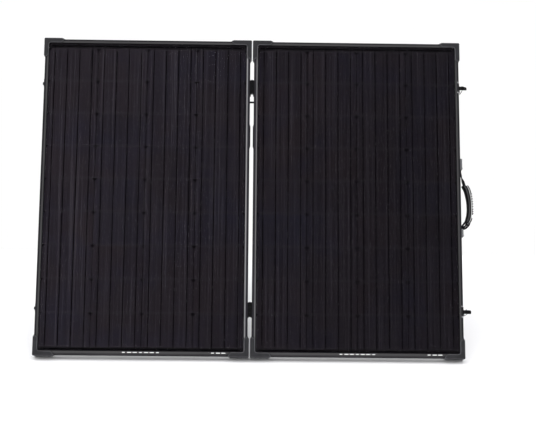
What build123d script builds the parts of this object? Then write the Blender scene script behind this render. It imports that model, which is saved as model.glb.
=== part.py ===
from build123d import *
import os
from math import sin, cos, tan, radians, degrees, hypot, pi

os.makedirs("parts", exist_ok=True)

# ---------------------------------------------------------------- driving dimensions (mm)
LEAN = 25.0          # the open panels lean back this far from vertical
PANEL_W = 659.3      # one panel, outer face to outer face of its rails
PANEL_H = 1012.0
GAP = 12.2           # between the two inner rails when open
DEPTH = 35.0         # rail depth
LIP = 11.5           # rail's front lip over the glass
BEVEL = 5.5          # outer part of the lip slopes back
FLANGE = 25.0        # rail's rear flange
WALL = 1.8
GUARD = 3.8          # corner guard, side wall
GUARD_IN = 4.65      # the same wall where two guards meet across the gap
GUARD_FACE = 2.5     # corner guard, front and rear plates
GLASS_T = 3.2
CELL_W, CELL_H = 156.75, 104.5
CELL_DX, CELL_DY = 158.75, 106.43
CELL_CUT = 8.0
CELL_V = 135.0 - CELL_DY / 2      # centre height of the lowest row of cells
FOLD_W = 3.0         # fold axis stands this far in front of the rails
PIVOT_V, PIVOT_W = 700.0, -21.0   # leg pivot
SPLAY = 40.0         # leg's angle from the panel when open
ARM = 230.0          # leg pivot to brace pivot, and the brace's own length
BOX_U, BOX_V = 336.0, 937.0       # junction box centre
CABLE_R = 3.0
LATCH_V = (871.5, 148.0)
HINGE_V = (863.0, 147.7)
SLIDE = 10.0         # travel of the carrying handle in its end caps

U0 = GAP / 2
U1 = U0 + PANEL_W
V0 = GUARD
V1 = V0 + PANEL_H
S, C = sin(radians(LEAN)), cos(radians(LEAN))

# origin: centre of the standing panel's box, on the floor
FLOOR = -(DEPTH + GUARD_FACE) * S
SHIFT_X, SHIFT_Y, SHIFT_Z = 16.650, 248.330, FLOOR


# Panel frame: u to the right, v up the panel, w out of the glass; w = 0 is the rails' front.
def spot(u, v, w):
    return Vector(u - SHIFT_X, v * S - w * C - SHIFT_Y, v * C + w * S - SHIFT_Z)


def way(u, v, w):
    return Vector(u, v * S - w * C, v * C + w * S)


def front(w, u=0, v=0):       # plane parallel to the glass: x = u, y = v
    return Plane(origin=spot(u, v, w), x_dir=way(1, 0, 0), z_dir=way(0, 0, 1))


def side(u, v=0, w=0):        # plane across a horizontal rail: x = v, y = w, normal +u
    return Plane(origin=spot(u, v, w), x_dir=way(0, 1, 0), z_dir=way(1, 0, 0))


def level(v, u=0, w=0):       # plane across a vertical rail: x = u, y = w, normal -v
    return Plane(origin=spot(u, v, w), x_dir=way(1, 0, 0), z_dir=way(0, -1, 0))


def drill(points, direction, r, depth):
    for p in points:
        with Locations(Plane(origin=p, z_dir=direction)):
            Cylinder(r, depth, mode=Mode.SUBTRACT)


def screws(points, direction, shank_r, shank, head_r, head_h):
    """pan heads with a hexagon socket, shank going against the direction"""
    for p in points:
        with Locations(Plane(origin=p, z_dir=direction)):
            Cylinder(head_r, head_h * 0.55, align=(Align.CENTER, Align.CENTER, Align.MIN))
            Cylinder(shank_r, shank, align=(Align.CENTER, Align.CENTER, Align.MAX))
        with Locations(Plane(origin=p + direction * head_h * 0.55, z_dir=direction)):
            Cone(head_r, head_r * 0.62, head_h * 0.45, align=(Align.CENTER, Align.CENTER, Align.MIN))
        with BuildSketch(Plane(origin=p + direction * head_h, z_dir=direction)) as socket:
            RegularPolygon(head_r * 0.42, 6)
        extrude(socket.sketch, amount=-head_h * 0.6, mode=Mode.SUBTRACT)


U, V, W = way(1, 0, 0), way(0, 1, 0), way(0, 0, 1)
CENTRE = Plane(origin=spot(0, 0, 0), x_dir=V, z_dir=U)
finished = []


def save(piece, name):
    piece.part.label = name
    export_step(piece.part, "parts/" + name + ".step")
    finished.append(name)


# ---------------------------------------------------------------- fastener places (panel frame)
FLANGE_V = (120.0, 880.0)                                   # open mounting holes, outer rail
mount_holes = [spot(U1 - 14, v, -DEPTH + 0.9) for v in FLANGE_V]
hinge_screws = [(v + dv, w) for v in HINGE_V for dv, w in ((-13, -24.5), (13, -24.5))]
bracket_screws = [(U1 - 19, v) for v in (686.0, 714.0, 236.0, 294.0, 352.0)]
latch_screws = [(v + dv, -27.5) for v in LATCH_V for dv in (-11, 11)]
cap_screws = [(633.0, -30.6), (606.0, -5.4), (406.5, -30.6), (389.5, -5.4)]
lip_rivets = [spot(U1 - 3.4, v + dv, -2.2 + 3.4 * 0.4) for v in LATCH_V for dv in (-16.5, 16.5)]
LIP_OUT = way(0.3714, 0, 0.9285)
lid_screws = [(BOX_U + du, BOX_V + dv) for du in (-49, 49) for dv in (-26, 26)]

# ---------------------------------------------------------------- frame rails
# section: s runs in from the outer face, w back from the front
RAIL = [(0, -2.2), (BEVEL, 0), (LIP, 0), (LIP, -1.5), (5.8, -1.5), (WALL, -3.1), (WALL, -6.3),
        (12, -6.3), (12, -22), (WALL, -22), (WALL, -DEPTH + WALL), (FLANGE, -DEPTH + WALL),
        (FLANGE, -DEPTH), (0, -DEPTH)]
CHAMBER = (6.2, -14.2, 8.8, 12.8)     # centre s, centre w, width, height

with BuildPart() as right_rail_top:
    with BuildSketch(side(U0)):
        with BuildLine():
            Polyline([(V1 - s, w) for s, w in RAIL], close=True)
        make_face()
        with Locations((V1 - CHAMBER[0], CHAMBER[1])):
            Rectangle(CHAMBER[2], CHAMBER[3], mode=Mode.SUBTRACT)
    extrude(amount=PANEL_W)
    split(bisect_by=Plane(origin=spot(U0, V1, 0), z_dir=way(1, 1, 0)), keep=Keep.TOP)
    split(bisect_by=Plane(origin=spot(U1, V1, 0), z_dir=way(-1, 1, 0)), keep=Keep.TOP)

with BuildPart() as right_rail_bottom:
    with BuildSketch(side(U0)):
        with BuildLine():
            Polyline([(V0 + s, w) for s, w in RAIL], close=True)
        make_face()
        with Locations((V0 + CHAMBER[0], CHAMBER[1])):
            Rectangle(CHAMBER[2], CHAMBER[3], mode=Mode.SUBTRACT)
    extrude(amount=PANEL_W)
    split(bisect_by=Plane(origin=spot(U0, V0, 0), z_dir=way(1, -1, 0)), keep=Keep.TOP)
    split(bisect_by=Plane(origin=spot(U1, V0, 0), z_dir=way(-1, -1, 0)), keep=Keep.TOP)

with BuildPart() as right_rail_inner:
    with BuildSketch(level(V1)):
        with BuildLine():
            Polyline([(U0 + s, w) for s, w in RAIL], close=True)
        make_face()
        with Locations((U0 + CHAMBER[0], CHAMBER[1])):
            Rectangle(CHAMBER[2], CHAMBER[3], mode=Mode.SUBTRACT)
    extrude(amount=PANEL_H)
    split(bisect_by=Plane(origin=spot(U0, V1, 0), z_dir=way(-1, -1, 0)), keep=Keep.TOP)
    split(bisect_by=Plane(origin=spot(U0, V0, 0), z_dir=way(-1, 1, 0)), keep=Keep.TOP)
    drill([spot(U0, v, w) for v, w in hinge_screws], U, 1.55, 8)

outer_drills = [spot(u, v, -DEPTH + 0.9) for u, v in bracket_screws]


def outer_rail():
    """outer rail with its leg-bracket, track and mounting holes"""
    with BuildPart() as rail:
        with BuildSketch(level(V1)) as section:
            with BuildLine():
                Polyline([(U1 - s, w) for s, w in RAIL], close=True)
            make_face()
            with Locations((U1 - CHAMBER[0], CHAMBER[1])):
                Rectangle(CHAMBER[2], CHAMBER[3], mode=Mode.SUBTRACT)
        extrude(amount=PANEL_H)
        split(bisect_by=Plane(origin=spot(U1, V1, 0), z_dir=way(1, -1, 0)), keep=Keep.TOP)
        split(bisect_by=Plane(origin=spot(U1, V0, 0), z_dir=way(1, 1, 0)), keep=Keep.TOP)
        drill(mount_holes, W, 3.5, 8)
        drill(outer_drills, W, 1.55, 8)
    return rail


plain_outer = outer_rail()
with BuildPart() as right_rail_outer:
    add(plain_outer.part)
    drill([spot(U1, v, w) for v, w in latch_screws], U, 1.55, 8)
    drill([spot(U1, v, w) for v, w in cap_screws], U, 1.55, 8)
    drill(lip_rivets, LIP_OUT, 1.25, 5)

# ---------------------------------------------------------------- corner keys and guards
CORNERS = [(U0, V0, 1, 1), (U1, V0, -1, 1), (U0, V1, 1, -1), (U1, V1, -1, -1)]

with BuildPart() as right_corner_keys:
    for cu, cv, du, dv in CORNERS:
        key = [(1.95, 1.95), (48, 1.95), (48, 10.45), (10.45, 10.45), (10.45, 48), (1.95, 48)]
        with BuildSketch(front(-20.45)):
            with BuildLine():
                Polyline([(cu + du * a, cv + dv * b) for a, b in key], close=True)
            make_face()
        extrude(amount=12.5)

with BuildPart() as right_corner_guards:
    for cu, cv, du, dv in CORNERS:
        g = GUARD_IN if cu == U0 else GUARD
        ou, ov = cu - du * g, cv - dv * GUARD
        ell = [(0, 0), (g + 53.7, 0), (g + 61.2, GUARD), (g + 52.2, 14.5), (g + 10.7, 14.5), (g + 10.7, 56), (g, 65), (0, 57.5)]
        with BuildSketch(front(-DEPTH - GUARD_FACE)) as guard_outline:
            with BuildLine():
                Polyline([(ou + du * a, ov + dv * b) for a, b in ell], close=True)
            make_face()
            fillet(guard_outline.vertices().sort_by_distance((ou + du * (g + 10.7), ov + dv * 14.5, 0))[0], 9)
            fillet(guard_outline.vertices().sort_by_distance((ou, ov, 0))[0], 4)
        extrude(amount=DEPTH + 2 * GUARD_FACE)
    for cu, cv, du, dv in CORNERS:
        with BuildSketch(front(-DEPTH)):
            with Locations((cu + du * 40, cv + dv * 40)):
                Rectangle(80, 80)
        extrude(amount=DEPTH, mode=Mode.SUBTRACT)
    face_edges = right_corner_guards.faces().filter_by(lambda f: abs(f.center().sub(spot(0, 0, 0)).dot(W) - GUARD_FACE) < 0.01 and f.normal_at().dot(W) > 0.9)
    chamfer(face_edges.edges(), 1.5)

# ---------------------------------------------------------------- glass, cells, ribbons, backsheet
MID_U, MID_V = (U0 + U1) / 2, (V0 + V1) / 2
with BuildPart() as right_glass:
    with BuildSketch(front(-1.7 - GLASS_T, MID_U, MID_V)):
        RectangleRounded(PANEL_W - 13, PANEL_H - 13, 2)
    extrude(amount=GLASS_T)

cell_outline = [(-CELL_W / 2, -CELL_H / 2), (CELL_W / 2, -CELL_H / 2), (CELL_W / 2, CELL_H / 2 - CELL_CUT),
                (CELL_W / 2 - CELL_CUT, CELL_H / 2), (-CELL_W / 2 + CELL_CUT, CELL_H / 2), (-CELL_W / 2, CELL_H / 2 - CELL_CUT)]
cell_columns = [MID_U + CELL_DX * (i - 1.5) for i in range(4)]
cell_rows = [CELL_V + CELL_DY * j for j in range(9)]
with BuildSketch() as one_cell:
    with BuildLine():
        Polyline(cell_outline, close=True)
    make_face()

with BuildPart() as right_cells:
    with BuildSketch(front(-5.3)):
        with Locations([(cu, cv) for cu in cell_columns for cv in cell_rows]):
            add(one_cell.sketch)
    extrude(amount=0.25)

with BuildPart() as right_ribbons:
    with BuildSketch(front(-5.05)):
        with Locations([(cu + CELL_DX * k / 4, 509.6) for cu in cell_columns for k in (-1.5, -0.5, 0.5, 1.5)]):
            Rectangle(1.4, 978)
    extrude(amount=0.15)
    with BuildSketch(front(-5.2)):
        with Locations((MID_U, 994.5), (MID_U, 22.0)):
            Rectangle(618, 5)
    extrude(amount=0.15)

with BuildPart() as right_backsheet:
    with BuildSketch(front(-6.2, MID_U, MID_V)):
        RectangleRounded(PANEL_W - 13, PANEL_H - 13, 2)
    extrude(amount=0.9)

# ---------------------------------------------------------------- junction box
with BuildPart() as right_box_base:
    with BuildSketch(front(-6.2, BOX_U, BOX_V)):
        RectangleRounded(110, 64, 6)
    extrude(amount=-20)
    with BuildSketch(front(-8.4, BOX_U, BOX_V)):
        RectangleRounded(104, 58, 4)
    extrude(amount=-18, mode=Mode.SUBTRACT)
    with BuildSketch(front(-8.4, BOX_U, BOX_V)):
        with Locations((-49, -26), (49, -26), (-49, 26), (49, 26)):
            Circle(4.2)
    extrude(amount=-17.8)
    with Locations(side(BOX_U - 53.5, BOX_V, -16)):
        Cylinder(5.05, 8, mode=Mode.SUBTRACT)
    drill([spot(u, v, -20) for u, v in lid_screws], W, 1.3, 14)

with BuildPart() as right_box_lid:
    with BuildSketch(front(-26.2, BOX_U, BOX_V)):
        RectangleRounded(110, 64, 6)
    extrude(amount=-2.6)
    chamfer(right_box_lid.faces().sort_by(Axis(spot(0, 0, 0), W))[0].edges(), 1.0)
    with BuildSketch(front(-28.8, BOX_U, BOX_V)):
        for k in range(-3, 4):
            with Locations((k * 11, 0)):
                SlotOverall(34, 3, rotation=90)
    extrude(amount=-0.8)
    drill([spot(u, v, -27.5) for u, v in lid_screws], W, 1.55, 8)

with BuildPart() as right_cable_gland:
    gland_face = BOX_U - 55.0
    with BuildSketch(side(gland_face, BOX_V, -16)):
        RegularPolygon(8.2, 6)
    extrude(amount=-5)
    with BuildSketch(side(gland_face - 5, BOX_V, -16)):
        Circle(6.6)
    extrude(amount=-11, taper=8)
    with BuildSketch(side(gland_face, BOX_V, -16)):
        Circle(5.0)
    extrude(amount=3)
    with BuildSketch(side(gland_face + 3, BOX_V, -16)):
        RegularPolygon(7.6, 6)
    extrude(amount=3)
    drill([spot(gland_face - 5, BOX_V, -16)], U, CABLE_R + 0.06, 40)

with BuildPart() as right_bypass_diodes:
    with BuildSketch(front(-8.6, BOX_U, BOX_V)):
        with Locations((-22, 4), (0, 4), (22, 4)):
            Rectangle(14, 8)
    extrude(amount=-6)
    with BuildSketch(front(-10.5, BOX_U, BOX_V)):
        with Locations([(x + dx, 15) for x in (-22, 0, 22) for dx in (-4, 4)]):
            Rectangle(1.6, 14)
    extrude(amount=-1)

# ---------------------------------------------------------------- gap bumper on the inner rail
BUMP = 2.3
with BuildPart() as right_gap_bumper:
    with BuildSketch(front(-29)):
        with BuildLine():
            Polyline([(U0, 667), (U0, 742), (U0 - BUMP, 734), (U0 - BUMP, 675)], close=True)
        make_face()
    extrude(amount=24)
    fillet(right_gap_bumper.edges().filter_by(lambda e: abs((e @ 0.5 - spot(0, 0, 0)).dot(U) - (U0 - BUMP)) < 0.01 and e.length > 40), 1.0)

# ---------------------------------------------------------------- fold hinges
HINGE_L = 46.0
LEAF_T = 2.5
KNUCKLE_R = 3.1
PIN_R = 1.6


def leaf(sign, spans):
    """leaves on one rail's gap side, with knuckles over the given spans of each hinge"""
    with BuildPart() as plate:
        for hv in HINGE_V:
            with BuildSketch(level(hv + HINGE_L / 2)):
                with BuildLine():
                    Polyline([(sign * (U0 - LEAF_T), -29), (sign * U0, -29), (sign * U0, 2.2), (sign * (U0 - LEAF_T), 2.2)], close=True)
                make_face()
            extrude(amount=HINGE_L)
            # inner wing: closes the gap behind the knuckles, stopping just short of the middle
            with BuildSketch(level(hv + HINGE_L / 2)):
                with Locations((sign * (0.15 + U0 - 1) / 2, -3.45)):
                    Rectangle(U0 - 1 - 0.15, 5.1)
            extrude(amount=HINGE_L)
            for a, b in spans:
                with BuildSketch(level(hv + HINGE_L / 2 - a)):
                    with Locations((0, FOLD_W)):
                        Circle(KNUCKLE_R)
                    with Locations((sign * U0 / 2, 1.05)):
                        Rectangle(U0, 2.3)
                extrude(amount=b - a)
        for hv in HINGE_V:
            for a, b in ((0, 14.6), (14.6, 31.4), (31.4, HINGE_L)):
                if not any(abs(a - c) < 1 for c, d in spans):
                    with Locations(level(hv + HINGE_L / 2 - (a + b) / 2, 0, FOLD_W)):
                        Cylinder(KNUCKLE_R + 0.35, b - a + 0.001, mode=Mode.SUBTRACT)
        drill([spot(0, hv, FOLD_W) for hv in HINGE_V], V, PIN_R if sign > 0 else PIN_R + 0.05, HINGE_L + 10)
        for hv in HINGE_V:
            for dv in (-13, 13):
                with Locations(Plane(origin=spot(sign * (U0 - LEAF_T), hv + dv, -24.5), z_dir=U * sign)):
                    Cone(3.0, 1.55, 1.5, align=(Align.CENTER, Align.CENTER, Align.MIN), mode=Mode.SUBTRACT)
                    Cylinder(1.55, 12, mode=Mode.SUBTRACT)
    return plate


right_hinge_leaves = leaf(1, [(0, 14.6), (31.4, HINGE_L)])
left_hinge_leaves = leaf(-1, [(14.9, 31.1)])
# centre knuckle sits between the two outer ones with 0.3 clearance each side
with BuildPart() as hinge_pins:
    for hv in HINGE_V:
        with BuildSketch(level(hv + HINGE_L / 2 + 1.2, 0, FOLD_W)):
            Circle(PIN_R)
        extrude(amount=HINGE_L + 2.4)
        with BuildSketch(level(hv + HINGE_L / 2 + 1.2, 0, FOLD_W)):
            Circle(2.6)
        extrude(amount=1.2)

# ---------------------------------------------------------------- kick stand
LEG_T, LEG_D, LEG_WALL = 16.0, 18.0, 1.5
LEG_U = U1 - 39.6
leg_way = way(0, -cos(radians(SPLAY)), -sin(radians(SPLAY)))
leg_normal = way(0, -sin(radians(SPLAY)), cos(radians(SPLAY)))
PIVOT = spot(0, PIVOT_V, PIVOT_W)
LEG_REACH = PIVOT.Z / cos(radians(SPLAY - LEAN))       # pivot to floor along the leg


def leg_plane(along, u):      # across the leg: x = u
    return Plane(origin=spot(u, PIVOT_V, PIVOT_W) + leg_way * along, x_dir=U, z_dir=leg_way)


with BuildPart() as right_leg:
    with BuildSketch(leg_plane(-8, LEG_U)):
        RectangleRounded(LEG_T, LEG_D, 2.5)
        RectangleRounded(LEG_T - 2 * LEG_WALL, LEG_D - 2 * LEG_WALL, 1.2, mode=Mode.SUBTRACT)
    extrude(amount=LEG_REACH - 10 + 8)
    drill([spot(LEG_U, PIVOT_V, PIVOT_W), spot(LEG_U, PIVOT_V, PIVOT_W) + leg_way * ARM], U, 3.05, 30)

with BuildPart() as right_leg_foot:
    with BuildSketch(leg_plane(LEG_REACH - 38, LEG_U)):
        RectangleRounded(LEG_T + 5, LEG_D + 5, 4)
    extrude(amount=46)
    with BuildSketch(leg_plane(LEG_REACH - 38, LEG_U)):
        RectangleRounded(LEG_T, LEG_D, 2.5)
    extrude(amount=28, mode=Mode.SUBTRACT)
    split(bisect_by=Plane(origin=(0, 0, 0), z_dir=(0, 0, 1)), keep=Keep.TOP)

BRACE_U = U1 - 29.5          # centre of the 3 mm bar
TRACK_U = U1 - 26.3          # centre of the 2.2 mm web
KNEE = spot(0, PIVOT_V, PIVOT_W) + leg_way * ARM
SLOT_OPEN = PIVOT_V - 2 * ARM * cos(radians(SPLAY))
SLOT_SHUT = PIVOT_V - 2 * ARM
brace_dir = (spot(0, SLOT_OPEN, PIVOT_W) - KNEE).normalized()
brace_mid = (spot(0, SLOT_OPEN, PIVOT_W) + KNEE) * 0.5

with BuildPart() as right_brace:
    with BuildSketch(Plane(origin=brace_mid + U * (BRACE_U - 1.5), x_dir=brace_dir, z_dir=U)):
        SlotCenterToCenter(ARM, 17)
        with Locations((-ARM / 2, 0), (ARM / 2, 0)):
            Circle(3.05, mode=Mode.SUBTRACT)
        with Locations((0, 0)):
            SlotCenterToCenter(120, 5, mode=Mode.SUBTRACT)
    extrude(amount=3)

with BuildPart() as right_slot_rivet:
    with BuildSketch(side(BRACE_U - 1.5, SLOT_OPEN, PIVOT_W)):
        Circle(3.05)
    extrude(amount=3)
    with BuildSketch(side(BRACE_U + 1.5, SLOT_OPEN, PIVOT_W)):
        Circle(2.9)
    extrude(amount=3.6)
    with BuildSketch(side(BRACE_U + 5.1, SLOT_OPEN, PIVOT_W)):
        Circle(5.4)
    extrude(amount=1.9)
    chamfer(right_slot_rivet.faces().sort_by(Axis(spot(0, 0, 0), U))[-1].edges(), 0.7)

with BuildPart() as right_track:
    with BuildSketch(front(-DEPTH + WALL)):
        with Locations(((U1 - 12.5 + U1 - 27.4) / 2, 294)):
            RectangleRounded(14.9, 144, 2)
    extrude(amount=2)
    with BuildSketch(side(U1 - 27.4)):
        with Locations((294, -22.1)):
            Rectangle(144, 22.2)
        with Locations(((SLOT_OPEN + SLOT_SHUT) / 2, PIVOT_W)):
            SlotOverall(SLOT_OPEN - SLOT_SHUT + 6.6, 6.2, mode=Mode.SUBTRACT)
    extrude(amount=2.2)
    drill([spot(u, v, -DEPTH + WALL + 1) for u, v in bracket_screws[2:]], W, 1.55, 8)

with BuildPart() as right_leg_bracket:
    with BuildSketch(front(-DEPTH + WALL)):
        with Locations(((U1 - 12.5 + U1 - 31) / 2, PIVOT_V)):
            RectangleRounded(18.5, 44, 2)
    extrude(amount=2)
    with BuildSketch(side(U1 - 31)):
        with Locations((PIVOT_V, -24.2)):
            Rectangle(30, 18)
        with Locations((PIVOT_V, PIVOT_W)):
            Circle(10)
            Circle(3.0, mode=Mode.SUBTRACT)
    extrude(amount=2.4)
    drill([spot(u, v, -DEPTH + WALL + 1) for u, v in bracket_screws[:2]], W, 1.55, 8)

with BuildPart() as right_knob:
    knob_base = LEG_U - LEG_T / 2
    with BuildSketch(Plane(origin=KNEE + U * (knob_base - 0.5), x_dir=V, z_dir=way(-1, 0, 0))):
        Circle(6.5)
    extrude(amount=2.5)
    with BuildSketch(Plane(origin=KNEE + U * (knob_base - 3), x_dir=V, z_dir=way(-1, 0, 0))) as lobes:
        Circle(11)
        with PolarLocations(8.6, 6):
            Circle(4.0)
    extrude(amount=10)
    fillet(right_knob.faces().sort_by(Axis(spot(0, 0, 0), U))[0].edges(), 1.2)
    with BuildSketch(Plane(origin=KNEE + U * (knob_base - 3), x_dir=V, z_dir=U)):
        Circle(3.0)
    extrude(amount=BRACE_U + 1.5 - knob_base + 3)

# ---------------------------------------------------------------- latches on the right rail
LP_U, LP_W = U1 + 4.2, -12.0          # lever pivot
HOOK = 8.0                            # lever pivot to loop pivot
LOOP_L = 46.0
WIRE = 0.95
with BuildPart() as latch_bases:
    for lv in LATCH_V:
        with BuildSketch(side(U1, lv, 0)):
            with Locations((0, -18)):
                RectangleRounded(30, 27, 3)
        extrude(amount=1.6)
        with BuildSketch(level(lv + 2.5)):
            with Locations((LP_U, LP_W)):
                Circle(2.6)
            with Locations((U1 + 2.1, LP_W)):
                Rectangle(4.2, 5.2)
        extrude(amount=5)
    drill([spot(U1, v, w) for v, w in latch_screws], U, 1.55, 8)
    drill([spot(LP_U, lv, LP_W) for lv in LATCH_V], V, 1.2, 12)
    for lv in LATCH_V:
        with BuildSketch(level(lv + 6.0, LP_U, LP_W)):
            Circle(1.2)
        extrude(amount=12.0)


def lever(lv, droop):
    with BuildPart() as handle:
        with BuildSketch(front(LP_W - 1.5)) as outline:
            with BuildLine():
                Polyline([(LP_U, lv + 5.8), (LP_U + 12.0, lv + 5.8), (LP_U + 21.8, lv + 5.4 - droop), (LP_U + 22.4, lv - 5.9),
                          (LP_U + 16.0, lv - 5.9), (LP_U, lv - 5.6)], close=True)
            make_face()
            fillet(outline.vertices().group_by(Axis.X)[-2:], 2.0)
        extrude(amount=3)
        with BuildSketch(level(lv + 5.8)):
            with Locations((LP_U, LP_W)):
                Circle(2.3)
        extrude(amount=11.4)
        with BuildSketch(front(LP_W - 4)):
            with Locations((LP_U - 0.7, lv)):
                Rectangle(7.1, 5.4)
        extrude(amount=8, mode=Mode.SUBTRACT)
        drill([spot(LP_U, lv, LP_W)], V, 1.25, 14)
        for k in (-1, 1):
            with Locations(level(lv + k * 4.4, LP_U + HOOK, LP_W)):
                Cylinder(1.0, 4.0, mode=Mode.SUBTRACT)
        for k in range(3):
            with BuildSketch(front(LP_W + 1.5)):
                with Locations((LP_U + 13.0 + 2.6 * k, lv - 0.6 - droop / 3)):
                    Rectangle(1.3, 7.0 - droop / 2)
            extrude(amount=0.5)
    return handle


SIDE = 7.5           # loop's side wires, from its middle


def loop(lv):
    with BuildPart() as bail:
        with BuildLine() as wire:
            FilletPolyline(spot(LP_U + HOOK, lv + 2.7, LP_W), spot(LP_U + HOOK, lv + SIDE, LP_W),
                           spot(LP_U + HOOK, lv + SIDE, LP_W - LOOP_L), spot(LP_U + HOOK, lv - SIDE, LP_W - LOOP_L),
                           spot(LP_U + HOOK, lv - SIDE, LP_W), spot(LP_U + HOOK, lv - 2.7, LP_W), radius=1.15)
        with BuildSketch(Plane(origin=wire.wires()[0] @ 0, z_dir=wire.wires()[0] % 0)):
            Circle(WIRE)
        sweep()
    return bail


upper_latch_lever, lower_latch_lever = lever(LATCH_V[0], 3.0), lever(LATCH_V[1], 0.4)
upper_latch_loop, lower_latch_loop = loop(LATCH_V[0]), loop(LATCH_V[1])

# keeper: a low hook on the left panel's outer rail; the loop's bar sits behind its lug when shut
BAR_W = 2 * FOLD_W - (LP_W - HOOK + LOOP_L)      # bar's place in the left panel's own frame
with BuildPart() as latch_keepers:
    for lv in LATCH_V:
        with BuildSketch(side(-U1, lv, 0)):
            with Locations((0, -16)):
                RectangleRounded(26, 22, 2.5)
        extrude(amount=-1.2)
        with BuildSketch(level(lv + 4.2)):
            with BuildLine():
                Polyline([(-U1, BAR_W + WIRE + 0.25), (-U1 - 6.4, BAR_W + WIRE + 0.25), (-U1 - 6.4, BAR_W + WIRE + 1.6),
                          (-U1 - 3.0, BAR_W + 8), (-U1, BAR_W + 8)], close=True)
            make_face()
        extrude(amount=8.4)
    keeper_screws = [(lv + dv, w) for lv in LATCH_V for dv, w in ((-9.5, -22.5), (9.5, -22.5))]
    drill([spot(-U1, v, w) for v, w in keeper_screws], U, 1.55, 8)

# ---------------------------------------------------------------- carrying handle
CAPS = [(601.0, 638.0, 601.0, 634.5), (385.0, 411.0, 387.5, 411.0)]     # v from, to; cavity from, to
with BuildPart() as handle_end_caps:
    for a, b, c, d in CAPS:
        with BuildSketch(side(U1, (a + b) / 2, -18)):
            RectangleRounded(b - a, 30, 3.5)
        extrude(amount=6.4)
    chamfer(handle_end_caps.faces().filter_by(lambda f: abs((f.center() - spot(0, 0, 0)).dot(U) - U1 - 6.4) < 0.01).edges(), 1.2)
    for a, b, c, d in CAPS:
        with BuildSketch(side(U1, (c + d) / 2, -18)):
            Rectangle(d - c + 0.02, 20.6)
        extrude(amount=4.4, mode=Mode.SUBTRACT)
    drill([spot(U1, v, w) for v, w in cap_screws], U, 1.55, 16)

STRAP = [(667.5, 622), (667.5, 604), (667.7, 591.5), (671.0, 580), (676.2, 563), (681.0, 545), (686.0, 520), (690.0, 492),
         (690.2, 466), (686.0, 442), (681.5, 426)]
STRAP_T = 3.0


def offset_points(points, t):
    out = []
    for i, (x, y) in enumerate(points):
        x0, y0 = points[max(i - 1, 0)]
        x1, y1 = points[min(i + 1, len(points) - 1)]
        n = hypot(x1 - x0, y1 - y0)
        out.append((x - (y1 - y0) / n * t, y + (x1 - x0) / n * t))
    return out


strap_lower = [(681.5, 426), (676.0, 418.5), (669.5, 415.0), (667.5, 409), (667.5, 389.5)]
strap_all = STRAP + strap_lower[1:]
with BuildPart() as handle_strap:
    with BuildSketch(front(-28)):
        with BuildLine():
            outer = Spline(offset_points(strap_all, STRAP_T / 2))
            inner = Spline(offset_points(strap_all, -STRAP_T / 2))
            Line(outer @ 0, inner @ 0)
            Line(outer @ 1, inner @ 1)
        make_face()
    extrude(amount=20)

grip_in = [(670.6, 550), (679.5, 531), (685.0, 505), (686.6, 481), (683.8, 453), (678.5, 435)]
grip_out = [(691.0, 552), (698.0, 537), (701.4, 520), (703.2, 500), (703.6, 480), (703.2, 456), (701.0, 440), (694.5, 429)]
rib_u = [703.4, 703.8, 703.8, 703.7, 703.5, 703.1, 702.5, 701.8, 700.7]
with BuildPart() as handle_grip:
    with BuildSketch(front(-31)):
        with BuildLine():
            gi = Spline(grip_in)
            go = Spline(grip_out)
            Line(gi @ 0, go @ 0)
            Line(gi @ 1, go @ 1)
        make_face()
    extrude(amount=26)
    chamfer(handle_grip.edges().filter_by(lambda e: e.length > 100), 2.5)
    for k in range(9):
        with BuildSketch(front(-29)):
            with Locations((rib_u[k], 461.0 + 7.75 * k)):
                RectangleRounded(4.2, 3.8, 1.0)
        extrude(amount=22)
    with BuildSketch(front(-28.15)):
        with BuildLine():
            outer2 = Spline(offset_points(strap_all, STRAP_T / 2 + 0.1))
            inner2 = Spline(offset_points(strap_all, -STRAP_T / 2 - 0.1))
            Line(outer2 @ 0, inner2 @ 0)
            Line(outer2 @ 1, inner2 @ 1)
        make_face()
    extrude(amount=20.3, mode=Mode.SUBTRACT)

# ---------------------------------------------------------------- fasteners
def common_fasteners():
    """the screws both panels share: hinge, leg bracket, track, box lid, leg pivot bolt"""
    with BuildPart() as lot:
        for v, w in hinge_screws:
            with Locations(Plane(origin=spot(U0 - LEAF_T, v, w), z_dir=U)):
                Cone(2.9, 1.5, 1.45, align=(Align.CENTER, Align.CENTER, Align.MIN))
                Cylinder(1.5, 9, align=(Align.CENTER, Align.CENTER, Align.MIN))
        screws([spot(u, v, -DEPTH) for u, v in bracket_screws], -W, 1.5, 5.5, 3.0, 1.9)
        screws([spot(u, v, -28.8) for u, v in lid_screws], -W, 1.25, 9, 2.6, 1.6)
        screws([spot(LEG_U - LEG_T / 2 - 0.3, PIVOT_V, PIVOT_W)], -U, 3.0, LEG_T + 0.3 + 0.6 + 2.4 + 1.6, 5.6, 3.2)
        with BuildSketch(side(U1 - 28.6, PIVOT_V, PIVOT_W)) as nut:
            RegularPolygon(5.6, 6)
        extrude(nut.sketch, amount=1.6)
    return lot


shared_right = common_fasteners()
with BuildPart() as right_fasteners:
    add(shared_right.part)
    screws([spot(U1 + 1.6, v, w) for v, w in latch_screws], U, 1.5, 5, 2.6, 1.4)
    screws([spot(U1 + 6.4, v, w) for v, w in cap_screws], U, 1.5, 10, 2.6, 1.6)
    screws([p + LIP_OUT * 0.02 for p in lip_rivets], LIP_OUT, 1.2, 2.2, 1.9, 0.8)

with BuildPart() as left_fasteners:
    mirror(shared_right.part, about=CENTRE)
    screws([spot(-U1 - 1.2, v, w) for v, w in keeper_screws], -U, 1.5, 5, 2.6, 1.4)

with BuildPart() as left_rail_outer:
    mirror(plain_outer.part, about=CENTRE)
    drill([spot(-U1, v, w) for v, w in keeper_screws], U, 1.55, 8)

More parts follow.
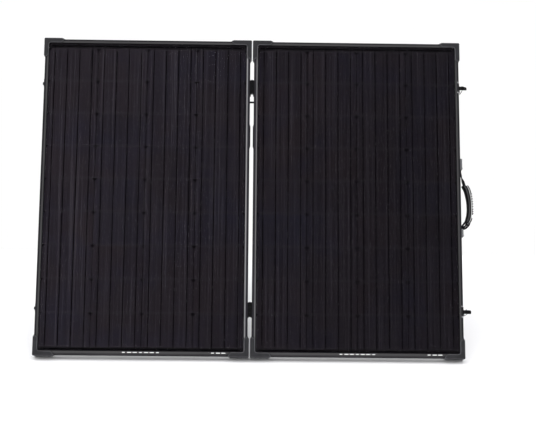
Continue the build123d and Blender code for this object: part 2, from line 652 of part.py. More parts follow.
# ---------------------------------------------------------------- link cable between the two boxes
# hangs in the upright plane through both glands, which slopes off the leaning panel's back
GLAND_U = BOX_U - 55.0 - 16.0
cable_route = [(GLAND_U + 6, 0.0), (GLAND_U - 32, 0.0), (GLAND_U - 82, 26.0), (GLAND_U - 124, 66.0), (114, 97.0),
               (62, 111.5), (3, 118.5), (-58, 113.0), (-112, 98.5), (-GLAND_U + 122, 66.0), (-GLAND_U + 82, 27.0),
               (-GLAND_U + 34, 0.0), (-GLAND_U - 6, 0.0)]
cable_points = [spot(u, BOX_V, -16) + Vector(0, 0, -drop) for u, drop in cable_route]


def route_radii(points):
    out = []
    for a, b, c in zip(points, points[1:], points[2:]):
        turn = (b - a).get_angle(c - b)
        out.append(0.45 * min((b - a).length, (c - b).length) / tan(radians(turn) / 2))
    return out


cable_radii = route_radii(cable_points)
with BuildPart() as link_cable:
    with BuildLine() as cable_path:
        FilletPolyline(cable_points, radius=cable_radii)
    with BuildSketch(Plane(origin=cable_path.wires()[0] @ 0, z_dir=cable_path.wires()[0] % 0)):
        Circle(CABLE_R)
    sweep()
cable_length = sum(e.length for e in cable_path.line.edges())

# ---------------------------------------------------------------- write every piece
twins = {"rail_top": right_rail_top, "rail_bottom": right_rail_bottom, "rail_inner": right_rail_inner,
         "corner_keys": right_corner_keys, "corner_guards": right_corner_guards, "glass": right_glass,
         "cells": right_cells, "ribbons": right_ribbons, "backsheet": right_backsheet, "box_base": right_box_base,
         "box_lid": right_box_lid, "cable_gland": right_cable_gland, "bypass_diodes": right_bypass_diodes,
         "gap_bumper": right_gap_bumper, "leg": right_leg, "leg_foot": right_leg_foot, "brace": right_brace,
         "slot_rivet": right_slot_rivet, "track": right_track, "leg_bracket": right_leg_bracket, "knob": right_knob}
for twin_name, right_piece in twins.items():
    save(right_piece, "right_" + twin_name)
    with BuildPart() as left_piece:
        mirror(right_piece.part, about=CENTRE)
    save(left_piece, "left_" + twin_name)

for name, piece in {"right_rail_outer": right_rail_outer, "left_rail_outer": left_rail_outer,
                    "right_fasteners": right_fasteners, "left_fasteners": left_fasteners,
                    "right_hinge_leaves": right_hinge_leaves, "left_hinge_leaves": left_hinge_leaves,
                    "hinge_pins": hinge_pins, "latch_bases": latch_bases, "upper_latch_lever": upper_latch_lever,
                    "lower_latch_lever": lower_latch_lever, "upper_latch_loop": upper_latch_loop,
                    "lower_latch_loop": lower_latch_loop, "latch_keepers": latch_keepers,
                    "handle_end_caps": handle_end_caps, "handle_strap": handle_strap, "handle_grip": handle_grip,
                    "link_cable": link_cable}.items():
    save(piece, name)

if __name__ == "__main__":
    print(len(finished), "pieces; cable", round(cable_length, 1), "mm, radii", [round(r) for r in cable_radii],
          "volume ratio", round(link_cable.part.volume / (pi * CABLE_R ** 2 * cable_length), 4))
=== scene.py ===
import bpy, bmesh, math, random
from mathutils import Vector, Matrix


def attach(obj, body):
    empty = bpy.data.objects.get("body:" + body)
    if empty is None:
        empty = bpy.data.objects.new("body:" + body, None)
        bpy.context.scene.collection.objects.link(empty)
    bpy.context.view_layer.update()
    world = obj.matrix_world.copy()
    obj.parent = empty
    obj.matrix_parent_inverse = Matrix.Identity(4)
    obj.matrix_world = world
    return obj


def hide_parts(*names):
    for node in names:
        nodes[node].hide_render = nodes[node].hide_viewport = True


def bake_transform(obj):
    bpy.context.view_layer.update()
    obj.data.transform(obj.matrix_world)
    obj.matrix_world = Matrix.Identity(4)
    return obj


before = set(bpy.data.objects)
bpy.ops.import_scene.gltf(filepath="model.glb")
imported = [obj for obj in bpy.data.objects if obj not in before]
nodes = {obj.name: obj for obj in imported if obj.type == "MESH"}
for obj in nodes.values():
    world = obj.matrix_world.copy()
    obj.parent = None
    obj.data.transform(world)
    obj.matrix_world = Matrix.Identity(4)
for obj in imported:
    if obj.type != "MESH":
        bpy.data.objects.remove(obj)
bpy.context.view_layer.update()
random.seed(7)

# ------------------------------------------------------------------ the panel's own frame
LEAN = math.radians(25.0)
S, C = math.sin(LEAN), math.cos(LEAN)
SX, SY, SZ = 16.650, 248.330, -37.5 * S          # the same origin shift as the CAD
U0, U1 = 6.1, 665.4
V0, V1 = 3.8, 1015.8
MID_U = (U0 + U1) / 2
CELL_DX, CELL_DY = 158.75, 106.43
CELL_V = 135.0 - CELL_DY / 2
V_ZERO = ((-SY / 1000) * S + (-SZ / 1000) * C)      # panel-frame height of v = 0, metres
AX_U, AX_V, AX_W = Vector((1, 0, 0)), Vector((0, S, C)), Vector((0, -C, S))


def L(u, v, w):
    """millimetres in the panel's frame to metres in the row frame"""
    return Vector(((u - SX) / 1000, (v * S - w * C - SY) / 1000, (v * C + w * S - SZ) / 1000))


# ------------------------------------------------------------------ camera
al, ya, ro = math.radians(10.17), math.radians(1.0), math.radians(-0.62)
R = (Matrix.Rotation(ro, 3, "Z") @ Matrix.Rotation(ya, 3, "Y") @ Matrix.Rotation(-al, 3, "X"))
T = Vector((-55.4 + 1.58, 76.6 - 1.9, -4026.0))
eye = -(R.transposed() @ T)
M = Matrix((AX_U, AX_V, AX_W)).transposed()
cam_rot = M @ R.transposed()
cam_data = bpy.data.cameras.new("camera")
cam_data.lens = 1275.0 / 536.0 * 36.0
cam_data.sensor_width = 36.0
cam_data.clip_start, cam_data.clip_end = 0.05, 200
cam = bpy.data.objects.new("camera", cam_data)
bpy.context.scene.collection.objects.link(cam)
cam.matrix_world = Matrix.Translation(L(eye.x, eye.y + 510.0, eye.z)) @ cam_rot.to_4x4()
bpy.context.scene.camera = cam
bpy.context.scene.view_settings.view_transform = "Standard"

# ------------------------------------------------------------------ material helpers


class Mat:
    def __init__(self, name):
        self.m = bpy.data.materials.new(name)
        self.m.use_nodes = True
        self.t = self.m.node_tree
        self.n = self.t.nodes
        self.b = self.n["Principled BSDF"]
        self.tc = self.n.new("ShaderNodeTexCoord")

    def link(self, a, b):
        self.t.links.new(a, b)

    def set(self, **kw):
        for k, v in kw.items():
            self.b.inputs[k.replace("_", " ")].default_value = v

    def mapping(self, scale=(1, 1, 1), rotation=(0, 0, 0), source=None, location=(0, 0, 0)):
        m = self.n.new("ShaderNodeMapping")
        m.inputs["Scale"].default_value = scale
        m.inputs["Rotation"].default_value = rotation
        m.inputs["Location"].default_value = location
        self.link(source or self.tc.outputs["Object"], m.inputs["Vector"])
        return m.outputs["Vector"]

    def panel_frame(self):
        """coordinates along the panel: x across, y up the panel, z out of the glass, metres"""
        return self.mapping(rotation=(-(math.pi / 2 - LEAN), 0, 0))

    def noise(self, scale, detail=4, rough=0.5, source=None):
        x = self.n.new("ShaderNodeTexNoise")
        x.inputs["Scale"].default_value = scale
        x.inputs["Detail"].default_value = detail
        x.inputs["Roughness"].default_value = rough
        self.link(source or self.tc.outputs["Object"], x.inputs["Vector"])
        return x.outputs["Fac"]

    def ramp(self, fac, stops):
        r = self.n.new("ShaderNodeValToRGB")
        e = r.color_ramp.elements
        while len(e) < len(stops):
            e.new(0.5)
        for k, (p, c) in enumerate(stops):
            e[k].position = p
            e[k].color = (*c, 1) if len(c) == 3 else c
        self.link(fac, r.inputs["Fac"])
        return r.outputs["Color"]

    def rng(self, value, a, b, c, d):
        r = self.n.new("ShaderNodeMapRange")
        for k, v in zip(("From Min", "From Max", "To Min", "To Max"), (a, b, c, d)):
            r.inputs[k].default_value = v
        self.link(value, r.inputs["Value"])
        return r.outputs["Result"]

    def math(self, op, a, b=None, clamp=False):
        m = self.n.new("ShaderNodeMath")
        m.operation = op
        m.use_clamp = clamp
        for k, v in ((0, a), (1, b)):
            if v is None:
                continue
            if isinstance(v, (int, float)):
                m.inputs[k].default_value = v
            else:
                self.link(v, m.inputs[k])
        return m.outputs[0]

    def mix(self, fac, a, b, mode="MIX"):
        m = self.n.new("ShaderNodeMix")
        m.data_type = "RGBA"
        m.blend_type = mode
        for s, v in ((m.inputs[0], fac), (m.inputs[6], a), (m.inputs[7], b)):
            if isinstance(v, (int, float)):
                s.default_value = v
            elif isinstance(v, tuple):
                s.default_value = (*v, 1) if len(v) == 3 else v
            else:
                self.link(v, s)
        return m.outputs[2]

    def dot(self, vec, direction):
        d = self.n.new("ShaderNodeVectorMath")
        d.operation = "DOT_PRODUCT"
        self.link(vec, d.inputs[0])
        d.inputs[1].default_value = direction
        return d.outputs["Value"]

    def bump(self, height, strength, distance, normal=None):
        b = self.n.new("ShaderNodeBump")
        b.inputs["Strength"].default_value = strength
        b.inputs["Distance"].default_value = distance
        self.link(height, b.inputs["Height"])
        if normal is not None:
            self.link(normal, b.inputs["Normal"])
        return b.outputs["Normal"]

    def color(self, s):
        self.link(s, self.b.inputs["Base Color"])

    def rough(self, s):
        self.link(s, self.b.inputs["Roughness"])

    def normal(self, s):
        self.link(s, self.b.inputs["Normal"])


def moulded(name, base, var=0.25, rough=0.5, grain=1600, depth=0.00006, spec=0.45, edge=None):
    """moulded plastic: fine spark texture, faint cloudy tone, slightly polished high spots"""
    m = Mat(name)
    m.set(Metallic=0.0, Specular_IOR_Level=spec)
    lo = tuple(c * (1 - var) for c in base)
    hi = tuple(c * (1 + var) for c in base)
    tone = m.ramp(m.noise(28, 5, 0.6), [(0.3, lo), (0.7, hi)])
    speck = m.noise(grain, 2, 0.5)
    out = m.mix(m.rng(speck, 0.35, 0.7, 0.0, 0.22), tone, tuple(min(1, c * 2.0) for c in base))
    if edge:      # painted highlight: rounded corners are painted paler, where the normal is none of the panel's three directions
        n = m.tc.outputs["Normal"]
        big = m.math("MAXIMUM", m.math("MAXIMUM", m.math("ABSOLUTE", m.dot(n, AX_W)), m.math("ABSOLUTE", m.dot(n, AX_V))), m.math("ABSOLUTE", m.dot(n, AX_U)))
        edge_highlight_mask = m.math("MULTIPLY", m.rng(big, 0.93, 0.985, 1.0, 0.0), m.rng(m.noise(60, 4, 0.6), 0.35, 0.6, 0.45, 1.0))
        out = m.mix(edge_highlight_mask, out, tuple(min(1, c * edge) for c in base))
    m.color(out)
    m.rough(m.rng(m.noise(140, 4), 0.3, 0.7, rough - 0.09, rough + 0.09))
    m.normal(m.bump(speck, 0.35, depth))
    return m.m


def rubber(name, base, rough=0.7, weave=None):
    m = Mat(name)
    m.set(Specular_IOR_Level=0.03)
    tone = m.ramp(m.noise(60, 4, 0.6), [(0.3, tuple(c * 0.75 for c in base)), (0.75, tuple(c * 1.3 for c in base))])
    dust = m.noise(420, 3, 0.6)
    m.color(m.mix(m.rng(dust, 0.55, 0.8, 0.0, 0.35), tone, tuple(min(1, c * 2.6) for c in base)))
    m.rough(m.rng(dust, 0.3, 0.7, rough - 0.08, rough + 0.1))
    m.normal(m.bump(m.noise(900, 3), 0.3, 0.00008))
    return m.m


CELL_TINTS = [(0.0, (0.0088, 0.0070, 0.0088)), (0.35, (0.0072, 0.0060, 0.0078)), (0.65, (0.0086, 0.0066, 0.0080)), (1.0, (0.0078, 0.0070, 0.0100))]
BLUE_PATCH = (0.0064, 0.0062, 0.0112)
STREAK = (0.0260, 0.0235, 0.0275)


def rail_metal(name, along, light, stripe, dark=(0.011, 0.0105, 0.012)):
    """black anodised extrusion; the inner strip of the lip's flat is painted paler than its outer bevel, a painted
    highlight for the light the flat catches
    """
    m = Mat(name)
    m.set(Anisotropic=0.35)
    pf = m.panel_frame()
    stretch = (6, 900, 900) if along == "u" else (900, 6, 900)
    lines = m.noise(1.0, 3, 0.55, m.mapping(scale=stretch, source=pf))
    cloud = m.noise(9, 4, 0.6)
    sep = m.n.new("ShaderNodeSeparateXYZ")
    m.link(pf, sep.inputs[0])
    a, b = stripe
    if along == "u":
        pos = m.math("SUBTRACT", sep.outputs[1], V_ZERO)
    else:
        pos = m.math("ABSOLUTE", m.math("ADD", sep.outputs[0], SX / 1000))
    near = m.rng(m.math("ABSOLUTE", m.math("SUBTRACT", pos, (a + b) / 2000)), abs(b - a) / 2000, abs(b - a) / 2000 + 0.0008, 1.0, 0.0)
    flat = m.math("MULTIPLY", m.rng(m.dot(m.tc.outputs["Normal"], AX_W), 0.955, 0.99, 0.0, 1.0), near)
    deep = m.ramp(cloud, [(0.3, tuple(x * 0.85 for x in dark)), (0.7, tuple(x * 1.25 for x in dark))])
    pale = m.ramp(cloud, [(0.3, tuple(light * x for x in (0.88, 0.86, 0.90))), (0.7, tuple(light * x for x in (1.14, 1.11, 1.17)))])
    # painted highlight: the lip's flat inner strip takes the pale tone and the bevel the dark one
    base = m.mix(flat, deep, pale)
    base = m.mix(m.rng(lines, 0.35, 0.7, 0.0, 0.30), base, m.mix(flat, tuple(x * 2.2 for x in dark), tuple(light * x for x in (1.5, 1.5, 1.56))))
    # a near-black line on the rail along each guard's slanted end: partly the real gap at that joint, partly painted
    # shade
    au = m.math("ABSOLUTE", m.math("ADD", sep.outputs[0], SX / 1000))
    du = m.math("MINIMUM", m.math("SUBTRACT", au, U0 / 1000), m.math("SUBTRACT", U1 / 1000, au))
    pv = m.math("SUBTRACT", sep.outputs[1], V_ZERO)
    dv = m.math("MINIMUM", m.math("SUBTRACT", pv, V0 / 1000), m.math("SUBTRACT", V1 / 1000, pv))
    if along == "u":
        seam = m.math("ADD", du, m.math("MULTIPLY", dv, 0.841))
    else:
        seam = m.math("ADD", dv, m.math("MULTIPLY", du, 0.841))
    seam = m.rng(m.math("ABSOLUTE", m.math("SUBTRACT", seam, 0.0628)), 0.0012, 0.0022, 0.92, 0.0)
    base = m.mix(seam, base, (0.001, 0.001, 0.0012))
    m.color(base)
    m.link(m.math("MULTIPLY", flat, 0.35), m.b.inputs["Metallic"])
    m.link(m.rng(flat, 0, 1, 0.0, 0.3), m.b.inputs["Specular IOR Level"])
    m.rough(m.math("ADD", m.rng(flat, 0, 1, 0.50, 0.40), m.rng(lines, 0.3, 0.7, -0.05, 0.06)))
    m.normal(m.bump(lines, 0.12, 0.00004))
    return m.m


def metal(name, base, rough=0.35, brush=(1, 1, 1), metallic=1.0, var=0.12, spec=0.5):
    m = Mat(name)
    m.set(Metallic=metallic, Anisotropic=0.3, Specular_IOR_Level=spec)
    lines = m.noise(1.0, 3, 0.5, m.mapping(scale=tuple(900 * b for b in brush), source=m.panel_frame()))
    tone = m.ramp(m.noise(18, 4, 0.6), [(0.3, tuple(c * (1 - var) for c in base)), (0.7, tuple(min(1, c * (1 + var)) for c in base))])
    m.color(m.mix(m.rng(lines, 0.4, 0.75, 0.0, 0.25), tone, tuple(min(1, c * 1.35) for c in base)))
    m.rough(m.rng(lines, 0.3, 0.7, rough - 0.07, rough + 0.1))
    m.normal(m.bump(lines, 0.15, 0.00004))
    return m.m


def cell_silicon(name, side):
    """near-black monocrystalline cells: each its own tint, fine grid fingers, upright streaks, solder shade beside the ribbons"""
    m = Mat(name)
    m.set(Metallic=0.0, Specular_IOR_Level=0.0)
    pf = m.panel_frame()
    sep = m.n.new("ShaderNodeSeparateXYZ")
    m.link(pf, sep.inputs[0])
    off_u = (side * MID_U - 2 * CELL_DX - SX) / 1000
    y0 = L(0, CELL_V - CELL_DY / 2, 0)
    off_v = y0.y * S + y0.z * C
    fu = m.math("DIVIDE", m.math("SUBTRACT", sep.outputs[0], off_u), CELL_DX / 1000)
    fv = m.math("DIVIDE", m.math("SUBTRACT", sep.outputs[1], off_v), CELL_DY / 1000)
    com = m.n.new("ShaderNodeCombineXYZ")
    m.link(m.math("FLOOR", fu), com.inputs[0])
    m.link(m.math("FLOOR", fv), com.inputs[1])
    com.inputs[2].default_value = side * 3.7
    wn = m.n.new("ShaderNodeTexWhiteNoise")
    m.link(com.outputs[0], wn.inputs["Vector"])
    tint = m.ramp(wn.outputs["Value"], CELL_TINTS)
    # painted sheen: the cells' colour is scaled up towards the upper left of the pair, where the real glass shows a
    # sheen
    painted_sheen_gain = m.math("ADD", m.rng(sep.outputs[0], -0.70, 0.45, 1.9, 1.0), m.rng(sep.outputs[1], 0.45, 1.0, 0.0, 0.18))
    streak = m.noise(1.0, 2, 0.6, m.mapping(scale=(260, 1.6, 1), source=pf))
    bands = m.noise(1.0, 3, 0.55, m.mapping(scale=(60, 4, 1), source=pf))
    cloud = m.noise(4.5, 3, 0.6, pf)
    c = m.mix(m.rng(bands, 0.3, 0.7, 0.0, 0.35), tint, tuple(1.25 * x for x in CELL_TINTS[2][1]))
    c = m.mix(m.rng(cloud, 0.45, 0.68, 0.0, 0.55), c, BLUE_PATCH)
    c = m.mix(m.rng(streak, 0.55, 0.70, 0.0, 0.55), c, STREAK)
    c = m.mix(m.rng(streak, 0.46, 0.34, 0.0, 0.45), c, (0.0040, 0.0034, 0.0042))
    fingers = m.math("SINE", m.math("MULTIPLY", sep.outputs[1], 2 * math.pi / 0.0016))
    c = m.mix(m.rng(fingers, 0.80, 1.0, 0.0, 0.20), c, STREAK)
    # distance to the nearest ribbon, in millimetres: four to a cell
    q = m.math("ABSOLUTE", m.math("SUBTRACT", m.math("FRACT", m.math("MULTIPLY", fu, 4.0)), 0.5))
    near = m.rng(q, 1.3 / (CELL_DX / 4), 2.3 / (CELL_DX / 4), 1.0, 0.0)
    c = m.mix(m.math("MULTIPLY", near, 0.95), c, (0.0012, 0.0010, 0.0014))
    # paler rim where the wafer ends
    ev = m.math("ABSOLUTE", m.math("SUBTRACT", m.math("FRACT", fv), 0.5))
    c = m.mix(m.rng(ev, 0.4700, 0.4830, 0.0, 0.55), c, STREAK)
    out = m.mix(1.0, c, (1, 1, 1), "MULTIPLY")
    vm = m.n.new("ShaderNodeVectorMath")
    vm.operation = "SCALE"
    m.link(out, vm.inputs[0])
    m.link(painted_sheen_gain, vm.inputs["Scale"])
    m.color(vm.outputs["Vector"])
    m.rough(m.rng(bands, 0.3, 0.7, 0.42, 0.55))
    m.normal(m.bump(fingers, 0.15, 0.00002))
    return m.m


def glass_mat():
    m = Mat("cover_glass")
    m.set(Metallic=0.0, IOR=1.45, Specular_IOR_Level=0.12, Alpha=0.05)
    haze = m.noise(3.2, 4, 0.6)
    m.color(m.ramp(haze, [(0.3, (0.004, 0.004, 0.006)), (0.7, (0.010, 0.009, 0.012))]))
    m.rough(m.rng(m.noise(26, 5, 0.65), 0.35, 0.75, 0.035, 0.11))
    m.normal(m.bump(m.noise(520, 2), 0.01, 0.00002))
    return m.m


# lit and shaded copies of one rail finish: each rail's pale and dark tones are set to how brightly that rail is lit,
# the inner left rail brightest
M_RAIL_TOP = rail_metal("anodised_rail_top", "u", 0.027, (1004.3, 1009.5), (0.018, 0.0175, 0.019))
M_RAIL_BOT = rail_metal("anodised_rail_bottom", "u", 0.034, (15.3, 7.5), (0.030, 0.029, 0.031))
M_RAIL_IN = rail_metal("anodised_rail_inner_right", "v", 0.082, (17.2, 14.2), (0.020, 0.019, 0.022))
M_RAIL_IN_L = rail_metal("anodised_rail_inner_left", "v", 0.150, (17.6, 13.8), (0.018, 0.017, 0.020))
M_RAIL_OUT = rail_metal("anodised_rail_outer", "v", 0.026, (653.9, 658.6), (0.016, 0.0155, 0.017))
M_GUARD = moulded("guard_plastic", (0.0215, 0.0215, 0.0235), rough=0.5, spec=0.06, edge=4.4)
M_BOX = moulded("box_plastic", (0.022, 0.022, 0.024), rough=0.42)
M_KNOB = moulded("knob_plastic", (0.026, 0.026, 0.028), rough=0.5, grain=2200)
M_ALU = metal("leg_aluminium", (0.62, 0.62, 0.63), 0.34, (1, 0.02, 1))
M_KEY = metal("key_aluminium", (0.55, 0.55, 0.56), 0.45)
M_STEEL = metal("zinc_steel", (0.50, 0.50, 0.53), 0.30)
M_BLACK = metal("black_steel", (0.0035, 0.0035, 0.004), 0.42, metallic=0.0, var=0.25, spec=0.05)
M_RUBBER = rubber("black_rubber", (0.010, 0.010, 0.0105))
M_CABLE = rubber("cable_jacket", (0.008, 0.008, 0.0085), rough=0.55)
M_CELL_R, M_CELL_L = cell_silicon("cell_silicon_right", 1), cell_silicon("cell_silicon_left", -1)
M_GLASS = glass_mat()
M_RIBBON = metal("black_ribbon", (0.0016, 0.0014, 0.0018), 0.6, (1, 0.05, 1), metallic=0.0, spec=0.0)
M_SHEET = moulded("backsheet_black", (0.0090, 0.0080, 0.0094), var=0.3, rough=0.6, grain=700, spec=0.0)


def shade_between_cells(mat):
    """the sheet reads blacker in the narrow gaps between wafers than in the wide margins"""
    t = mat.node_tree
    m = Mat.__new__(Mat)
    m.m, m.t, m.n, m.b = mat, t, t.nodes, t.nodes["Principled BSDF"]
    m.tc = next(n for n in t.nodes if n.bl_idname == "ShaderNodeTexCoord")
    sep = m.n.new("ShaderNodeSeparateXYZ")
    m.link(m.panel_frame(), sep.inputs[0])
    au = m.math("ABSOLUTE", m.math("ADD", sep.outputs[0], SX / 1000))
    pv = m.math("SUBTRACT", sep.outputs[1], V_ZERO)
    inside = m.math("MULTIPLY", m.rng(m.math("ABSOLUTE", m.math("SUBTRACT", au, MID_U / 1000)), 0.3155, 0.3175, 1.0, 0.0),
                    m.rng(m.math("ABSOLUTE", m.math("SUBTRACT", pv, (CELL_V + 4 * CELL_DY) / 1000)), 0.4770, 0.4790, 1.0, 0.0))
    old = m.b.inputs["Base Color"].links[0].from_socket
    front = m.mix(m.math("MULTIPLY", inside, 0.85), old, (0.0010, 0.0009, 0.0012))
    # the rear of the sheet has a satin finish with the wafers just showing through
    rear = m.rng(m.dot(m.tc.outputs["Normal"], AX_W), -0.5, 0.5, 1.0, 0.0)
    satin = m.ramp(m.noise(5, 5, 0.6), [(0.3, (0.014, 0.014, 0.0155)), (0.7, (0.020, 0.020, 0.022))])
    fu = m.math("ABSOLUTE", m.math("SUBTRACT", m.math("FRACT", m.math("DIVIDE", m.math("SUBTRACT", au, MID_U / 1000), CELL_DX / 1000)), 0.5))
    fv = m.math("ABSOLUTE", m.math("SUBTRACT", m.math("FRACT", m.math("DIVIDE", m.math("SUBTRACT", pv, (CELL_V + 3.5 * CELL_DY) / 1000), CELL_DY / 1000)), 0.5))
    seam = m.math("MAXIMUM", m.rng(fu, 0.486, 0.497, 0.0, 1.0), m.rng(fv, 0.482, 0.496, 0.0, 1.0))
    satin = m.mix(m.math("MULTIPLY", m.math("MULTIPLY", seam, inside), 0.5), satin, (0.034, 0.034, 0.037))
    m.color(m.mix(rear, front, satin))
    m.link(m.math("MULTIPLY", rear, 0.3), m.b.inputs["Specular IOR Level"])


shade_between_cells(M_SHEET)
M_DIODE = moulded("diode_epoxy", (0.015, 0.015, 0.016), rough=0.3)
M_CAP = moulded("grey_cap", (0.105, 0.107, 0.112), rough=0.42, spec=0.2)
M_HINGE = metal("hinge_black", (0.0035, 0.0035, 0.004), 0.42, metallic=0.0, var=0.25, spec=0.05)

assign = {
    "rail_top": M_RAIL_TOP, "rail_bottom": M_RAIL_BOT, "rail_inner": M_RAIL_IN, "rail_outer": M_RAIL_OUT, "corner_keys": M_KEY,
    "corner_guards": M_GUARD, "glass": M_GLASS, "ribbons": M_RIBBON, "backsheet": M_SHEET, "box_base": M_BOX, "box_lid": M_BOX,
    "cable_gland": M_BOX, "bypass_diodes": M_DIODE, "gap_bumper": M_RUBBER, "leg": M_ALU, "leg_foot": M_RUBBER, "brace": M_ALU,
    "slot_rivet": M_STEEL, "track": M_ALU, "leg_bracket": M_ALU, "knob": M_KNOB, "fasteners": M_STEEL, "hinge_leaves": M_HINGE,
    "cells": None}
for side, cell in (("right", M_CELL_R), ("left", M_CELL_L)):
    for k, mat in assign.items():
        o = nodes[side + "_" + k]
        o.data.materials.clear()
        o.data.materials.append(M_RAIL_IN_L if (side, k) == ("left", "rail_inner") else mat or cell)
for k, mat in {"hinge_pins": M_STEEL, "latch_bases": M_BLACK, "upper_latch_lever": M_BLACK, "lower_latch_lever": M_BLACK,
               "upper_latch_loop": M_BLACK, "lower_latch_loop": M_BLACK, "latch_keepers": M_BLACK, "handle_end_caps": M_CAP,
               "handle_strap": M_RUBBER, "handle_grip": M_RUBBER, "link_cable": M_CABLE}.items():
    nodes[k].data.materials.clear()
    nodes[k].data.materials.append(mat)


def bevel(o, width, segments=2, angle=32):
    b = o.modifiers.new("bevel", "BEVEL")
    b.width = width
    b.segments = segments
    b.limit_method = "ANGLE"
    b.angle_limit = math.radians(angle)
    b.harden_normals = False


# ------------------------------------------------------------------ link cable
GLAND_U = 336.0 - 55.0 - 16.0
route = [(GLAND_U + 6, 0.0), (GLAND_U - 32, 0.0), (GLAND_U - 82, 26.0), (GLAND_U - 124, 66.0), (114, 97.0),
         (62, 111.5), (3, 118.5), (-58, 113.0), (-112, 98.5), (-GLAND_U + 122, 66.0), (-GLAND_U + 82, 27.0),
         (-GLAND_U + 34, 0.0), (-GLAND_U - 6, 0.0)]
ctrl = [L(u, 937.0, -16.0) - Vector((0, 0, d / 1000)) for u, d in route]
cu = bpy.data.curves.new("route", "CURVE")
cu.dimensions = "3D"
sp = cu.splines.new("NURBS")
sp.points.add(len(ctrl) - 1)
for p, c in zip(sp.points, ctrl):
    p.co = (*c, 1)
sp.order_u = 3
sp.use_endpoint_u = True
sp.resolution_u = 12
route_obj = bpy.data.objects.new("route", cu)
bpy.context.scene.collection.objects.link(route_obj)
bpy.context.view_layer.update()
rm = bpy.data.meshes.new_from_object(route_obj)
line = [v.co.copy() for v in rm.vertices]
bpy.data.objects.remove(route_obj)


def tube(name, points, radius, sides=16):
    """a round tube along points with no twist"""
    bm = bmesh.new()
    rings = []
    n = None
    for i, p in enumerate(points):
        t = (points[min(i + 1, len(points) - 1)] - points[max(i - 1, 0)]).normalized()
        if n is None:
            n = t.orthogonal().normalized()
        n = (n - t * n.dot(t)).normalized()
        b = t.cross(n)
        rings.append([bm.verts.new(p + (n * math.cos(a) + b * math.sin(a)) * radius) for a in (2 * math.pi * k / sides for k in range(sides))])
    for r0, r1 in zip(rings, rings[1:]):
        for k in range(sides):
            bm.faces.new((r0[k], r0[(k + 1) % sides], r1[(k + 1) % sides], r1[k]))
    bm.faces.new(reversed(rings[0]))
    bm.faces.new(rings[-1])
    return finish_mesh(name, bm)


def finish_mesh(name, bm, smooth=True):
    bmesh.ops.recalc_face_normals(bm, faces=bm.faces[:])
    me = bpy.data.meshes.new(name)
    bm.to_mesh(me)
    bm.free()
    if smooth:
        for p in me.polygons:
            p.use_smooth = True
    o = bpy.data.objects.new(name, me)
    bpy.context.scene.collection.objects.link(o)
    return o


cable = tube("link_cable_jacket", line, 0.003)
cable.data.materials.append(M_CABLE)
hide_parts("link_cable")
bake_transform(cable)

# ------------------------------------------------------------------ carrying handle
STRAP = [(667.5, 622), (667.5, 604), (667.7, 591.5), (671.0, 580), (676.2, 563), (681.0, 545), (686.0, 520), (690.0, 492),
         (690.2, 466), (686.0, 442), (681.5, 426), (676.0, 418.5), (669.5, 415.0), (667.5, 409), (667.5, 389.5)]


def smooth_line(pts, per=8):
    """Catmull-Rom through 2-D points"""
    out = []
    for i in range(len(pts) - 1):
        p0, p1, p2, p3 = (Vector(pts[max(i - 1, 0)]), Vector(pts[i]), Vector(pts[i + 1]), Vector(pts[min(i + 2, len(pts) - 1)]))
        for k in range(per):
            t = k / per
            out.append(0.5 * ((2 * p1) + (p2 - p0) * t + (2 * p0 - 5 * p1 + 4 * p2 - p3) * t * t + (3 * p1 - p0 - 3 * p2 + p3) * t ** 3))
    out.append(Vector(pts[-1]))
    return out


def strip(name, path, sections, mat, body):
    """loft: at each path point a closed section of (n, w) pairs, n along the path's left normal"""
    bm = bmesh.new()
    rings = []
    for i, p in enumerate(path):
        a, b = path[max(i - 1, 0)], path[min(i + 1, len(path) - 1)]
        t = (b - a).normalized()
        nrm = Vector((-t.y, t.x))
        sec, turn = sections(p)
        ring = []
        for n, w in sec:
            n, w = n * math.cos(turn) + (w + 18) * math.sin(turn), (w + 18) * math.cos(turn) - n * math.sin(turn) - 18
            ring.append(bm.verts.new(L(p.x + nrm.x * n, p.y + nrm.y * n, w)))
        rings.append(ring)
    for r0, r1 in zip(rings, rings[1:]):
        for k in range(len(r0)):
            bm.faces.new((r0[k], r0[(k + 1) % len(r0)], r1[(k + 1) % len(r0)], r1[k]))
    bm.faces.new(reversed(rings[0]))
    bm.faces.new(rings[-1])
    o = finish_mesh(name, bm)
    o.data.materials.append(mat)
    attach(o, body)
    return o


def ease(x, a, b):
    t = min(1.0, max(0.0, (x - a) / (b - a)))
    return t * t * (3 - 2 * t)


def strap_section(p):
    """a flat strap 20 by 3 mm with a raised bead down each edge; it twists a little between the upper cap and the grip"""
    turn = math.radians(-34) * ease(p.y, 589, 562) * ease(p.y, 528, 548)
    return [(-1.5, -27.2), (-1.15, -27.8), (0, -28.0), (1.15, -27.8), (1.5, -27.2), (1.5, -25.6), (1.05, -25.1), (1.05, -10.9), (1.5, -10.4),
            (1.5, -8.8), (1.15, -8.2), (0, -8.0), (-1.15, -8.2), (-1.5, -8.8), (-1.5, -10.4), (-1.05, -10.9), (-1.05, -25.1), (-1.5, -25.6)], turn


def webbing(name, base):
    m = Mat(name)
    m.set(Specular_IOR_Level=0.03)
    pf = m.panel_frame()
    w1 = m.n.new("ShaderNodeTexWave")
    w1.wave_type = "BANDS"
    w1.bands_direction = "DIAGONAL"
    w1.inputs["Scale"].default_value = 170
    w1.inputs["Distortion"].default_value = 1.2
    w1.inputs["Detail"].default_value = 2
    m.link(pf, w1.inputs["Vector"])
    tone = m.ramp(m.noise(80, 4), [(0.3, tuple(c * 0.8 for c in base)), (0.7, tuple(c * 1.25 for c in base))])
    m.color(m.mix(m.rng(w1.outputs["Fac"], 0.2, 0.9, 0.0, 0.4), tone, tuple(c * 2.2 for c in base)))
    m.rough(m.rng(w1.outputs["Fac"], 0, 1, 0.68, 0.85))
    m.normal(m.bump(w1.outputs["Fac"], 0.5, 0.00025))
    return m.m


